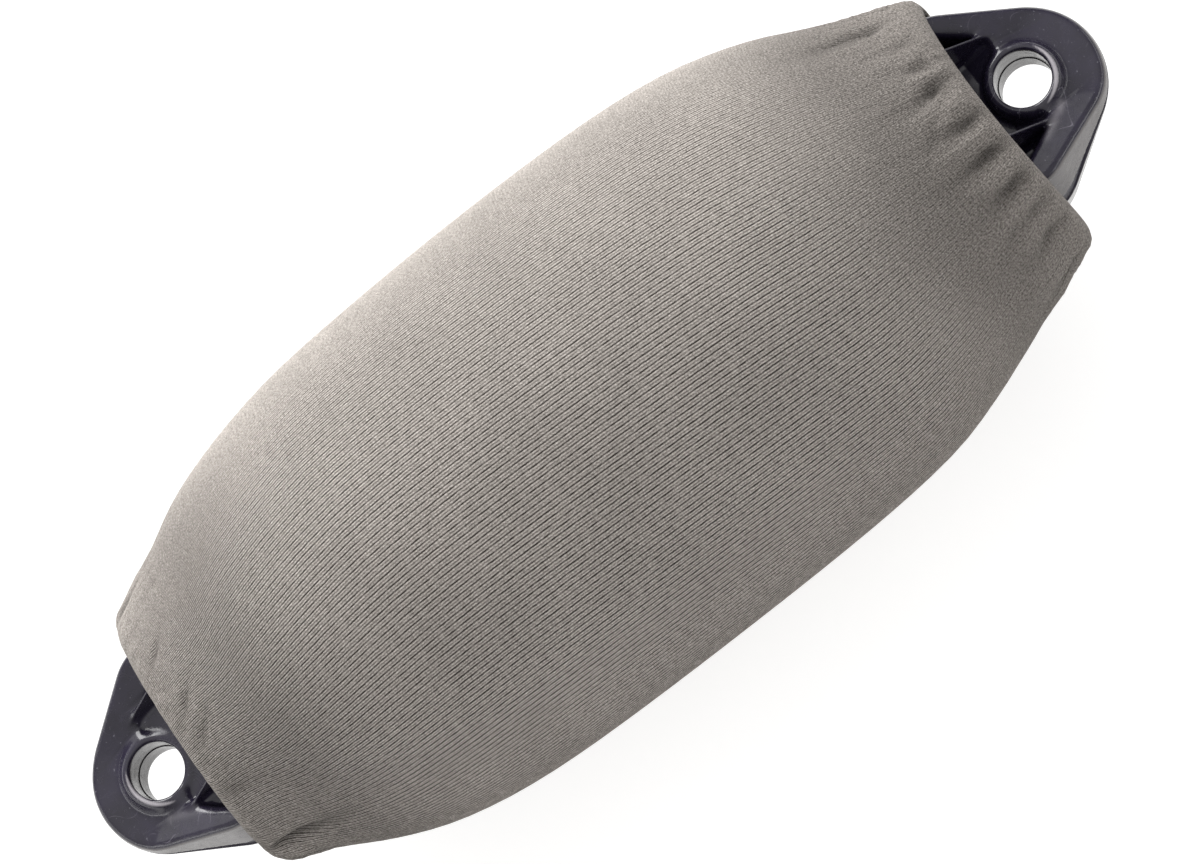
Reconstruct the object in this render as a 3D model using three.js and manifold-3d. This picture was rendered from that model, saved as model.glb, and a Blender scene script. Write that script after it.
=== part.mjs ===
// A knitted fender cover stretched over an inflatable boat fender that lies on its side.
// Millimetres, +Z up, +X along the fender. The origin is under the middle, on the surface.

import * as THREE from 'three';
import { mergeVertices } from 'three/addons/utils/BufferGeometryUtils.js';
import Module from 'manifold-3d';

const wasm = await Module();
wasm.setup();

// Driving dimensions
const overallLength = 760;        // eye tip to eye tip
const restDepth = 3.6;            // how far the round side is pressed flat underneath
const clothThickness = 2.5;
const seatGap = 1.3;              // cloth to the fender's skin
const joinGap = 0.3;              // between the fender's body and its eye ends

// The sleeve's outer form, one row for each section: place along X, mean radius, and the
// sideways shift of its centre
const sections = [
  { at: -300, radius: 91, shift: -0.8 },
  { at: -276, radius: 102, shift: 0.2 },
  { at: -252, radius: 113.4, shift: -1.8 },
  { at: -228, radius: 125.2, shift: -1.5 },
  { at: -204, radius: 133.8, shift: -1.4 },
  { at: -170, radius: 141.7, shift: -0.9 },
  { at: -130, radius: 147.1, shift: 0 },
  { at: -75, radius: 149.9, shift: 0.2 },
  { at: 0, radius: 151.1, shift: 0 },
  { at: 75, radius: 150.3, shift: -0.9 },
  { at: 130, radius: 147.4, shift: -1.9 },
  { at: 170, radius: 142, shift: -2.8 },
  { at: 204, radius: 132.4, shift: -3.2 },
  { at: 228, radius: 123.2, shift: -4 },
  { at: 252, radius: 112.4, shift: -6 },
  { at: 276, radius: 103, shift: -7.2 },
  { at: 300, radius: 93.5, shift: -7 },
];

// Where each hem stands along X at its four sides. The ends are turned in round a soft corner.
const hems = {
  right: { top: 303.5, left: 309, under: 306, right: 308 },
  left: { top: 301, left: 303.5, under: 308, right: 315 },
};
const hemTurn = { radius: 14, startAngle: 24, tuckAngle: 88 };

// Gathers in from the hems: angle from the top towards +Y, place along X, half sizes of the
// gather along and around in mm, height (below zero is a hollow), slant in degrees for each mm
const gathers = [
  { around: 38, at: 281, long: 16, wide: 8, height: -3.4, slant: 0.1 },
  { around: 22, at: 287, long: 12, wide: 7, height: -1.6, slant: 0.1 },
  { around: 6, at: 286, long: 16, wide: 8, height: -3.4, slant: 0.2 },
  { around: -12, at: 288, long: 14, wide: 7, height: -3.1, slant: 0.2 },
  { around: -26, at: 284, long: 18, wide: 8, height: -3.6, slant: 0.1 },
  { around: -42, at: 283, long: 16, wide: 8, height: -3.1, slant: 0.1 },
  { around: -60, at: 287, long: 13, wide: 8, height: -2.3, slant: 0 },
  { around: -77, at: 270, long: 26, wide: 9, height: 3.1, slant: -0.23 },
  { around: -92, at: 284, long: 15, wide: 9, height: -2.9, slant: 0 },
  { around: 62, at: 286, long: 14, wide: 9, height: -2.3, slant: 0 },
  { around: 88, at: 288, long: 13, wide: 10, height: -2.3, slant: 0 },
  { around: 118, at: 284, long: 16, wide: 10, height: -3.1, slant: 0 },
  { around: 146, at: 287, long: 14, wide: 9, height: -2.6, slant: 0 },
  { around: -122, at: 286, long: 16, wide: 9, height: -2.9, slant: 0 },
  { around: -150, at: 284, long: 15, wide: 10, height: -2.6, slant: 0 },
  { around: 24, at: -288, long: 15, wide: 8, height: -3.1, slant: 0.1 },
  { around: 58, at: -284, long: 14, wide: 9, height: -2.3, slant: 0 },
  { around: 1, at: -289, long: 12, wide: 7, height: -1.8, slant: 0 },
  { around: -31, at: -294, long: 12, wide: 8, height: -2, slant: 0 },
  { around: -63, at: -298, long: 15, wide: 8, height: -3.1, slant: -0.1 },
  { around: -96, at: -296, long: 14, wide: 9, height: -2.3, slant: 0 },
  { around: 94, at: -286, long: 14, wide: 9, height: -2.6, slant: 0 },
  { around: 130, at: -290, long: 15, wide: 10, height: -2.9, slant: 0 },
  { around: -132, at: -294, long: 14, wide: 10, height: -2.9, slant: 0 },
];

// The fender under the sleeve
const bodyEnd = { at: 296, corner: 8, radius: 81.5 };
const eyeAxisShift = -2.4;        // the eyes' centre line beside the sleeve's

// An eye end: a wedge-shaped lug with a rope eye through it, in its own place on the fender
const eye = { at: 332, radius: 17.5, halfDepth: 17.5, slope: 0.36 };
const collar = { radius: 24, proud: 1.6 };
const lug = {
  base: bodyEnd.at + joinGap, tipRadius: 48, flankAngle: 32, maxHalfWidth: 71,
  edgeHeight: 14.9, edgeAt: 353, edgeSlope: 0.56, maxEdge: 38.5, draft: 0.22, tipHalfDepth: 8.5,
};
const pocket = { end: 329, floor: 15, crownAt: 34, crownHeight: 29, rise: 0.6, spread: 0.62 };
const gusset = { offset: 33, thickness: 3.2, foot: 331, height: 29, slope: 1.15 };

// Steps of each surface; the sleeve's are crowded towards its gathered ends
const meshSteps = { sleeveAround: 80, sleeveAlong: 21, crowdEnds: 0.78, bodyAround: 48, eyeAround: 32 };

const radians = THREE.MathUtils.degToRad;
const smooth = THREE.MathUtils.smoothstep;
const clamp = THREE.MathUtils.clamp;
const axisHeight = sections.find((s) => s.at === 0).radius - restDepth;

// Smooth value of one column of the section table at a place along X
function sectionValue(x, column) {
  const last = sections.length - 1;
  let i = 0;
  while (i < last - 1 && x > sections[i + 1].at) i += 1;
  const [a, b] = [sections[i], sections[i + 1]];
  const before = sections[Math.max(i - 1, 0)];
  const after = sections[Math.min(i + 2, last)];
  const span = b.at - a.at;
  const u = (x - a.at) / span;
  const straight = (b[column] - a[column]) / span;
  const startSlope = i > 0 ? (b[column] - before[column]) / (b.at - before.at) : straight;
  const endSlope = i < last - 1 ? (after[column] - a[column]) / (after.at - a.at) : straight;
  if (u < 0) return a[column] + startSlope * (x - a.at);
  if (u > 1) return b[column] + endSlope * (x - b.at);
  const u2 = u * u;
  const u3 = u2 * u;
  return (2 * u3 - 3 * u2 + 1) * a[column] + (u3 - 2 * u2 + u) * span * startSlope
    + (3 * u2 - 2 * u3) * b[column] + (u3 - u2) * span * endSlope;
}

// A hem's place along X at an angle, smooth through its four sides
function hemAt(hem, angle) {
  const mean = (hem.top + hem.left + hem.under + hem.right) / 4;
  const dip = (hem.top - hem.left + hem.under - hem.right) / 4;
  return mean + ((hem.top - hem.under) / 2) * Math.cos(angle)
    + ((hem.left - hem.right) / 2) * Math.sin(angle) + dip * Math.cos(2 * angle);
}

// Height of all gathers at a place on the sleeve
function gatherHeight(x, angle, radius) {
  let height = 0;
  for (const g of gathers) {
    const along = (x - g.at) / g.long;
    const centre = radians(g.around + g.slant * (x - g.at));
    const turn = Math.atan2(Math.sin(angle - centre), Math.cos(angle - centre));
    const across = (turn * radius) / g.wide;
    height += g.height * Math.exp(-(along * along) - across * across);
  }
  return height;
}

// A point round the fender's axis, kept above the flat where it rests
function pointAround(x, radius, angle, lift) {
  const y = sectionValue(clamp(x, -300, 300), 'shift') + radius * Math.sin(angle);
  return new THREE.Vector3(x, y, Math.max(axisHeight + radius * Math.cos(angle), lift));
}

// Mid-line of the cloth at one angle, from the left hem's edge to the right one's
function sleeveLine(angle) {
  const half = clothThickness / 2;
  const corner = (end) => {
    const side = end === 'right' ? 1 : -1;
    const slope = radians(hemTurn.startAngle);
    const start = hemAt(hems[end], angle) - hemTurn.radius * (1 - Math.sin(slope));
    return { side, start, slope };
  };
  const [left, right] = [corner('left'), corner('right')];
  const arc = ({ side, start, slope }) => {
    const from = sectionValue(side * start, 'radius') - half;
    return [0.3, 0.65, 1].map((part) => {
      const turn = slope + (radians(hemTurn.tuckAngle) - slope) * part;
      const x = start + (hemTurn.radius - half) * (Math.sin(turn) - Math.sin(slope));
      const radius = from - (hemTurn.radius - half) * (Math.cos(slope) - Math.cos(turn));
      return { x: side * x, radius: radius + 0.4 * gatherHeight(side * start, angle, radius) };
    });
  };
  const leftStart = -left.start;
  const rightStart = right.start;
  const wall = [];
  for (let i = 0; i <= meshSteps.sleeveAlong; i += 1) {
    const even = i / meshSteps.sleeveAlong;
    const crowded = even - (meshSteps.crowdEnds * Math.sin(2 * Math.PI * even)) / (2 * Math.PI);
    const x = leftStart + (rightStart - leftStart) * crowded;
    const radius = sectionValue(x, 'radius') - half;
    wall.push({ x, radius: radius + gatherHeight(x, angle, radius) });
  }
  return [...arc(left).reverse(), ...wall, ...arc(right)];
}

// Closed surface over rows of points. Each row is a ring. The rows close on each other when
// asked, and else the first and last get flat ends.
function skin(rows, { wrapRows = false, endCap = null } = {}) {
  const columns = rows[0].length;
  const positions = rows.flat().flatMap((p) => [p.x, p.y, p.z]);
  const index = [];
  const vertex = (r, c) => (r % rows.length) * columns + (c % columns);
  const rowCount = wrapRows ? rows.length : rows.length - 1;
  for (let r = 0; r < rowCount; r += 1) {
    for (let c = 0; c < columns; c += 1) {
      index.push(vertex(r, c), vertex(r, c + 1), vertex(r + 1, c + 1));
      index.push(vertex(r, c), vertex(r + 1, c + 1), vertex(r + 1, c));
    }
  }
  if (endCap) {
    for (const [a, b, c] of endCap(columns)) {
      const last = (rows.length - 1) * columns;
      index.push(c, b, a, last + a, last + b, last + c);
    }
  }
  const geometry = new THREE.BufferGeometry();
  geometry.setAttribute('position', new THREE.Float32BufferAttribute(positions, 3));
  geometry.setIndex(index);
  return geometry;
}

// Cap of a round row: a fan
const fanCap = (columns) => Array.from({ length: columns - 2 }, (unused, i) => [0, i + 1, i + 2]);

// The knitted sleeve, one cloth with its turned hems: outer wall, hem edges and inner wall
function makeCover() {
  const half = clothThickness / 2;
  const around = meshSteps.sleeveAround;
  const lines = [];
  for (let j = 0; j < around; j += 1) lines.push(sleeveLine((2 * Math.PI * j) / around));
  const middle = lines.map((line, j) => {
    const angle = (2 * Math.PI * j) / around;
    return line.map(({ x, radius }) => pointAround(x, radius, angle, half));
  });
  const rows = middle.map((points, j) => {
    const next = middle[(j + 1) % around];
    const before = middle[(j + around - 1) % around];
    const normals = points.map((p, i) => {
      const ahead = points[Math.min(i + 1, points.length - 1)];
      const behind = points[Math.max(i - 1, 0)];
      const along = new THREE.Vector3().subVectors(ahead, behind);
      const across = new THREE.Vector3().subVectors(next[i], before[i]);
      return along.cross(across).normalize();
    });
    const offset = (i, distance) => {
      const p = points[i].clone().addScaledVector(normals[i], distance);
      const floor = distance > 0 ? 0 : clothThickness;
      return new THREE.Vector3(p.x, p.y, Math.max(p.z, floor));
    };
    const outer = points.map((p, i) => offset(i, half));
    const inner = points.map((p, i) => offset(i, -half));
    return [...outer, ...inner.reverse()];
  });
  return skin(rows, { wrapRows: true });
}

// The fender's body under the sleeve, with rounded shoulders and a flat end at each eye
function makeBody() {
  const inset = clothThickness + seatGap;
  const stations = [];
  for (const turn of [90, 60, 30, 0]) {
    stations.push({
      x: bodyEnd.at - bodyEnd.corner * (1 - Math.sin(radians(turn))),
      radius: bodyEnd.radius + bodyEnd.corner * Math.cos(radians(turn)),
    });
  }
  for (const x of [270, 250, 232, 215, 200, 184, 165, 142, 110, 70, 0]) stations.push({ x });
  const full = [...stations.map((s) => ({ ...s, x: -s.x })), ...stations.slice(0, -1).reverse()];
  const around = meshSteps.bodyAround;
  const rows = full.map(({ x, radius }) => {
    const size = radius ?? sectionValue(x, 'radius') - inset + Math.min(0, gatherDepthNear(x));
    return Array.from({ length: around }, (unused, j) => {
      const angle = (-2 * Math.PI * j) / around;
      return pointAround(x, size, angle, inset);
    });
  });
  return skin(rows, { endCap: fanCap });
}

// How far the deepest gather reaches in at a place along X
function gatherDepthNear(x) {
  let depth = 0;
  for (let j = 0; j < 180; j += 1) {
    const angle = (2 * Math.PI * j) / 180;
    depth = Math.min(depth, gatherHeight(x, angle, sectionValue(x, 'radius')));
  }
  return depth;
}

// Half width of the lug at its widest height
function lugHalfWidth(x) {
  const flank = radians(lug.flankAngle);
  const tangentAt = eye.at + lug.tipRadius * Math.sin(flank);
  if (x > tangentAt) return Math.sqrt(Math.max(lug.tipRadius ** 2 - (x - eye.at) ** 2, 36));
  const width = lug.tipRadius / Math.cos(flank) + (eye.at - x) * Math.tan(flank);
  return Math.min(width, lug.maxHalfWidth);
}

// One section across the lug, from +Y over the top to -Y and back underneath
function lugSection(x) {
  const width = lugHalfWidth(x);
  const round = smooth(x, 362, overallLength / 2);
  const rising = lug.edgeHeight + lug.edgeSlope * (lug.edgeAt - x);
  const edge = clamp(rising, 10, lug.maxEdge) * (1 - 0.7 * round);
  const edgeY = width - Math.max(lug.draft * edge, 3 * round);
  const face = Math.max(eye.halfDepth - eye.slope * (x - eye.at), lug.tipHalfDepth) * (1 - 0.6 * round);
  const inPocket = x < pocket.end;
  const crownY = inPocket ? pocket.crownAt + pocket.spread * (pocket.end + 2 - x) : pocket.crownAt;
  const crown = pocket.crownHeight + pocket.rise * (pocket.end + 2 - x);
  const crownPart = inPocket ? 1 : 1 - smooth(x, pocket.end, lug.edgeAt + 6);
  const middle = inPocket ? pocket.floor : face;
  const innerY = inPocket ? crownY - 3 : 26;
  const upper = [
    [width, 0],
    [edgeY, edge],
    [Math.min(crownY, edgeY * 0.88), edge + (crown - edge) * crownPart],
    [Math.min(innerY, edgeY * 0.76), middle],
  ];
  const across = [...upper, ...upper.slice().reverse().map(([y, z]) => [-y, z])];
  const under = across.slice(1, -1).reverse().map(([y, z]) => [y, -z]);
  return [...across, ...under].map(([y, z]) => new THREE.Vector3(x, y, z));
}

// Cap of a lug section: strips between its top and bottom halves
function lugCap(columns) {
  const faces = [];
  const half = columns / 2;
  for (let i = 0; i < half; i += 1) {
    const below = (k) => (columns - k) % columns;
    if (i > 0) faces.push([i, i + 1, below(i)]);
    if (i < half - 1) faces.push([i + 1, below(i + 1), below(i)]);
  }
  return faces;
}

function toSolid(geometry) {
  const bare = geometry.clone();
  bare.deleteAttribute('normal');
  bare.deleteAttribute('uv');
  const merged = mergeVertices(bare);
  const mesh = new wasm.Mesh({
    numProp: 3,
    vertProperties: new Float32Array(merged.attributes.position.array),
    triVerts: new Uint32Array(merged.index.array),
  });
  return new wasm.Manifold(mesh);
}

function fromSolid(solid) {
  const mesh = solid.getMesh();
  const geometry = new THREE.BufferGeometry();
  geometry.setAttribute('position', new THREE.BufferAttribute(new Float32Array(mesh.vertProperties), 3));
  geometry.setIndex(new THREE.BufferAttribute(new Uint32Array(mesh.triVerts), 1));
  return geometry;
}

// Prism of an outline drawn in X and Z, centred on a place along Y
function prismAlongY(outline, centre, width) {
  const shape = new THREE.Shape(outline.map(([x, z]) => new THREE.Vector2(x, z)));
  const geometry = new THREE.ExtrudeGeometry(shape, { depth: width, bevelEnabled: false });
  geometry.rotateX(Math.PI / 2);
  geometry.translate(0, centre + width / 2, 0);
  return toSolid(geometry);
}

function roundPlug(radius, halfHeight) {
  const geometry = new THREE.CylinderGeometry(radius, radius, 2 * halfHeight, meshSteps.eyeAround);
  geometry.rotateX(Math.PI / 2);
  geometry.translate(eye.at, 0, 0);
  return toSolid(geometry);
}

// An eye end: wedge-shaped lug, pocket with two gussets on each face, collar and rope eye
function makeEyeEnd() {
  const stations = [lug.base, 303, 311, 320, pocket.end - 0.8, pocket.end + 0.8, 338, 346, 353,
    359, 365, 370, 374, 377.4, overallLength / 2];
  const block = toSolid(skin(stations.map(lugSection), { endCap: lugCap }));
  const baseHeight = gusset.height + gusset.slope * (gusset.foot - lug.base);
  const outline = [[lug.base, -baseHeight], [gusset.foot, -gusset.height],
    [gusset.foot, gusset.height], [lug.base, baseHeight]];
  const ribs = [1, -1].map((side) => prismAlongY(outline, side * gusset.offset, gusset.thickness));
  const reach = collar.radius + 1;
  const rim = (x) => eye.halfDepth + collar.proud - eye.slope * (x - eye.at);
  const [near, far] = [eye.at - reach, eye.at + reach];
  const wedge = prismAlongY([[near, -rim(near)], [far, -rim(far)], [far, rim(far)], [near, rim(near)]],
    0, 2 * reach);
  const tall = 90;
  const ring = roundPlug(collar.radius, tall).intersect(wedge);
  const clearOfRing = roundPlug(collar.radius, tall).subtract(wedge);
  return fromSolid(block.add(ribs[0]).add(ribs[1]).subtract(clearOfRing).add(ring)
    .subtract(roundPlug(eye.radius, tall)));
}

function addMesh(group, name, geometry, material) {
  const mesh = new THREE.Mesh(geometry, material);
  mesh.name = name;
  group.add(mesh);
  return mesh;
}

const knit = new THREE.MeshStandardMaterial({ color: 0x8f8a82, roughness: 0.95, metalness: 0 });
const vinyl = new THREE.MeshStandardMaterial({ color: 0x23223a, roughness: 0.3, metalness: 0 });

const fender = new THREE.Group();
addMesh(fender, 'cover', makeCover(), knit);
addMesh(fender, 'fender_body', makeBody(), vinyl);
for (const [name, turn] of [['eye_end_right', 0], ['eye_end_left', Math.PI]]) {
  const mesh = addMesh(fender, name, makeEyeEnd(), vinyl);
  mesh.position.set(0, eyeAxisShift, axisHeight);
  mesh.rotation.z = turn;
}

export default fender;
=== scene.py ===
import math
from functools import partial

import bpy
import numpy as np
from mathutils import Matrix, Vector


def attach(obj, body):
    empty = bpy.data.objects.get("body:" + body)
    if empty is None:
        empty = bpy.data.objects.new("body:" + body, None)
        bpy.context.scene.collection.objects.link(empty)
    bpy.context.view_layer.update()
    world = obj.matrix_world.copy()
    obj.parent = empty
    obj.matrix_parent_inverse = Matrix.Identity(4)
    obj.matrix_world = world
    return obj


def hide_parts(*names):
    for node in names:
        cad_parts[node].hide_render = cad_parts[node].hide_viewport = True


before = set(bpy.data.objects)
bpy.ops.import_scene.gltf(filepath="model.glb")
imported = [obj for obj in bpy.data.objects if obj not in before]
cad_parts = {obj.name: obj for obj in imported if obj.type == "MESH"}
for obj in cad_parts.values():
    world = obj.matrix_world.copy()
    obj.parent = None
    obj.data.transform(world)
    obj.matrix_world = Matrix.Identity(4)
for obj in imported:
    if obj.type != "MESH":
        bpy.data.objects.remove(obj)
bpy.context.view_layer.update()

# A knitted fender cover on its boat fender. Lengths in the dictionaries are millimetres,
# +X runs along the fender to its right eye and +Z is up.

mm = 0.001
bpy.context.scene.view_settings.view_transform = "Standard"


def linear(hexColour):
    parts = [int(hexColour[i:i + 2], 16) / 255 for i in (1, 3, 5)]
    return [p / 12.92 if p <= 0.04045 else ((p + 0.055) / 1.055) ** 2.4 for p in parts] + [1]


# Gives a node's inputs their values or links, in order from a tuple or by name from a
# dictionary. A node among them stands for its first output
def setInputs(tree, node, inputs):
    for name, value in inputs.items() if isinstance(inputs, dict) else enumerate(inputs):
        if isinstance(value, bpy.types.Node):
            value = value.outputs[0]
        if isinstance(value, bpy.types.NodeSocket):
            tree.links.new(value, node.inputs[name])
        else:
            node.inputs[name].default_value = value


def addNode(tree, kind, inputs=(), **settings):
    node = tree.nodes.new(kind)
    for name, value in settings.items():
        setattr(node, name, value)
    setInputs(tree, node, inputs)
    return node


def newMaterial(name):
    material = bpy.data.materials.new(name)
    material.use_nodes = True
    tree = material.node_tree
    return material, tree, tree.nodes["Principled BSDF"]


def newObject(name, points, faces):
    mesh = bpy.data.meshes.new(name)
    mesh.from_pydata(points, [], faces)
    mesh.update()
    made = bpy.data.objects.new(name, mesh)
    bpy.context.scene.collection.objects.link(made)
    return made


# A value for each point of a piece, which its material or a node tree reads by name
def storeValues(piece, name, values):
    stored = piece.data.attributes.new(name, "FLOAT", "POINT")
    stored.data.foreach_set("value", values.reshape(-1).astype(np.float32))


# Camera, where the photograph was taken from: above, a little to the -Y side, a long lens
view = {
    "back": (0.078, -0.293, 0.953),  # from the fender towards the camera
    "lean": 38.7,                    # the fender's axis above the picture's horizontal, degrees
    "distance": 3090,
    "pixelsPerMm": 1.662,
    "pictureWidth": 1200,
    "aim": (0, -2.4, 147.5),
    "aimOffset": (3.0, 1.0),         # right and up in the picture
    "sensor": 36,
}


def makeCamera():
    back = Vector(view["back"]).normalized()
    along = (Vector((1, 0, 0)) - back * back.x).normalized()
    across = back.cross(along)
    lean = math.radians(view["lean"])
    right = along * math.cos(lean) - across * math.sin(lean)
    up = along * math.sin(lean) + across * math.cos(lean)
    data = bpy.data.cameras.new("camera")
    data.sensor_width = view["sensor"]
    data.lens = view["sensor"] * view["distance"] * view["pixelsPerMm"] / view["pictureWidth"]
    data.clip_start, data.clip_end = 0.1, 60  # metres
    camera = bpy.data.objects.new("camera", data)
    bpy.context.scene.collection.objects.link(camera)
    aim = Vector(view["aim"]) + right * view["aimOffset"][0] + up * view["aimOffset"][1]
    turn = Matrix((right, up, back)).transposed().to_4x4()
    camera.matrix_world = Matrix.Translation((aim + back * view["distance"]) * mm) @ turn
    bpy.context.scene.camera = camera


makeCamera()
print("camera placed")

# The sleeve: one knitted tube, its two ends turned in as elastic hems
sleeve = {
    "columns": ("place", "radius", "shift", "turn"),  # shift sideways, turn of the wales
    "sections": [
        (-300, 91, -0.8, -5), (-276, 102, 0.2, -4.6), (-252, 113.4, -1.8, -3.8),
        (-228, 125.2, -1.5, -2.5), (-204, 133.8, -1.4, -1.2), (-170, 141.7, -0.9, 0.2),
        (-130, 147.1, 0, 0.9), (-75, 149.9, 0.2, 0.9), (0, 151.1, 0, 0), (75, 150.3, -0.9, -1.2),
        (130, 147.4, -1.9, -2.5), (170, 142, -2.8, -3.9), (204, 132.4, -3.2, -5),
        (228, 123.2, -4, -5.4), (252, 112.4, -6, -5.3), (276, 103, -7.2, -4.9),
        (300, 93.5, -7, -4.5)],
    "hemRight": (303.5, 313, 306, 307.3),   # how far it reaches: top, +Y side, under, -Y side
    "hemLeft": (298.5, 301.5, 307, 309.3),
    "hemRadius": 14, "hemStart": 24, "hemTuck": 88,  # the turned-in edge, from and to degrees
    "hemRows": 7,
    "hemGathers": 0.4,                    # what is left of a gather at the edge
    "thickness": 2.5, "axisHeight": 147.5,
    "flatWidth": 760, "flatLength": 700,  # the cut, before it is sewn to a tube and pulled on
    "pairsAround": 256,                   # pairs of wales, the knit's upright rows of loops
    "columnsAPair": 4, "rows": 54, "crowdEnds": 0.72,
    "insideStep": 7, "insideClose": 5,    # few rows inside, but all of those next to a hem
    "ribsFrom": 6,                        # rows from the edge to full ribs
    "shadeFullDepth": 5,                      # a gather this deep gets the full painted shade
    "crumpleFrom": 95, "crumpleFade": 60, "crumpleLeft": 0.35,  # from the hem, and left's share
}

# Gathers of the elastic hems: degrees from the top, place, half length, half width, height, slant
gathers = [
    (44, 272, 15, 6, -4.6, 0.12), (29, 289, 9, 6, -2, 0), (16, 288, 10, 5.5, -2.5, 0),
    (5.5, 286, 11, 5.6, -4.3, 0.1), (-11, 288, 10, 5.2, -4.3, 0), (-24.3, 285, 13, 5.6, -4.7, 0),
    (-38.5, 286, 12, 5.8, -3.9, 0), (-51, 289, 10, 5, -2.2, 0), (-64, 287, 11, 6, -2.9, 0),
    (-92, 284, 13, 7, -3.3, 0), (55, 284, 8, 5, 1.1, 0), (64, 288, 10, 6, -2.8, 0),
    (88, 288, 11, 8, -2.7, 0), (118, 284, 13, 8, -3.6, 0), (146, 287, 12, 7, -3, 0),
    (-122, 286, 13, 7, -3.3, 0), (-150, 284, 12, 8, -3, 0), (-77, 270, 26, 9, 2.6, -0.23),
    # small ridges and creases between them
    (-2.7, 290, 9, 4, 1.1, 0.1), (-17.6, 290, 9, 4, 1.2, -0.1), (-31.4, 289, 9, 4, 1.2, 0.1),
    (-44.7, 289, 8, 4, 1, 0), (10.8, 290, 8, 3.6, 1, -0.1), (-8, 268, 9, 3.5, -1, 0.5),
    (-33, 266, 8, 3.5, -1, -0.4), (9, 266, 8, 3.5, -0.9, 0.5), (-50, 270, 8, 4, -0.9, 0.3),
    # left end
    (18.5, -278, 5.5, 3.2, -1.9, 0.4), (58, -284, 12, 7, -2.8, 0), (-3, -279, 6, 4, -1.6, 0.5),
    (-15, -282, 6, 4, -1.3, 0.5), (-38, -289, 9, 6, -1.7, 0), (-72, -286, 16, 5.5, -6, 0.2),
    (-84, -290, 13, 6, 1.6, 0.2), (-96, -292, 12, 7, -2.8, 0), (94, -286, 12, 7, -3, 0),
    (130, -290, 13, 8, -3.4, 0), (-132, -290, 12, 8, -3.4, 0),
]
tail = {"share": 0.4, "behind": 1.1, "long": 1.7, "wide": 1.35}  # each hollow runs out shallow
rim = {
    "ripples": [(17, 0.26, 0.4), (29, 0.2, 2.1), (41, 0.16, 4.4), (67, 0.09, 1.2)],
    # waves round the rim, mm, phase
    "from": 268, "over": 22, "twist": 0.01,
}


# Smooth value from the section table. Past its ends the radius runs on straight, the rest stays
def sectionValue(x, name):
    table = np.array(sleeve["sections"], float)
    at, value = table[:, 0], table[:, sleeve["columns"].index(name)]
    slopes = np.empty_like(value)
    slopes[1:-1] = (value[2:] - value[:-2]) / (at[2:] - at[:-2])
    slopes[0] = (value[1] - value[0]) / (at[1] - at[0])
    slopes[-1] = (value[-1] - value[-2]) / (at[-1] - at[-2])
    x = np.asarray(x, float)
    if name != "radius":
        x = np.clip(x, at[0], at[-1])
    i = np.clip(np.searchsorted(at, x, side="right") - 1, 0, len(at) - 2)
    span = at[i + 1] - at[i]
    t = (x - at[i]) / span
    inside = ((2 * t**3 - 3 * t**2 + 1) * value[i] + (t**3 - 2 * t**2 + t) * span * slopes[i]
              + (3 * t**2 - 2 * t**3) * value[i + 1] + (t**3 - t**2) * span * slopes[i + 1])
    before = value[0] + slopes[0] * (x - at[0])
    after = value[-1] + slopes[-1] * (x - at[-1])
    return np.where(x < at[0], before, np.where(x > at[-1], after, inside))


# How far from the fender's middle a hem starts to turn in
def turnInAt(hem, angle):
    top, left, under, right = sleeve[hem]
    dip = (top - left + under - right) / 4
    edge = ((top + left + under + right) / 4 + (top - under) / 2 * np.cos(angle)
            + (left - right) / 2 * np.sin(angle) + dip * np.cos(2 * angle))
    return edge - sleeve["hemRadius"] * (1 - math.sin(math.radians(sleeve["hemStart"])))


def gatherHeight(x, angle, radius):
    height = np.zeros(np.broadcast(x, angle, radius).shape)
    for around, at, halfLong, halfWide, tall, slant in gathers:
        centre = np.radians(around + slant * (x - at))
        turn = np.arctan2(np.sin(angle - centre), np.cos(angle - centre))
        across = (turn * radius / halfWide) ** 2
        behind = at - math.copysign(halfLong * tail["behind"], at)
        height += tall * np.exp(-((x - at) / halfLong) ** 2 - across)
        height += tall * tail["share"] * np.exp(
            -((x - behind) / (halfLong * tail["long"])) ** 2 - across / tail["wide"] ** 2)
    return height


# Small waves that the elastic leaves in the rolled rim
def rimWave(angle, place):
    height = sum(tall * np.sin(waves * (angle + rim["twist"] * place) + phase)
                 for waves, tall, phase in rim["ripples"])
    return height * np.clip((np.abs(place) - rim["from"]) / rim["over"], 0, 1)


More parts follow.
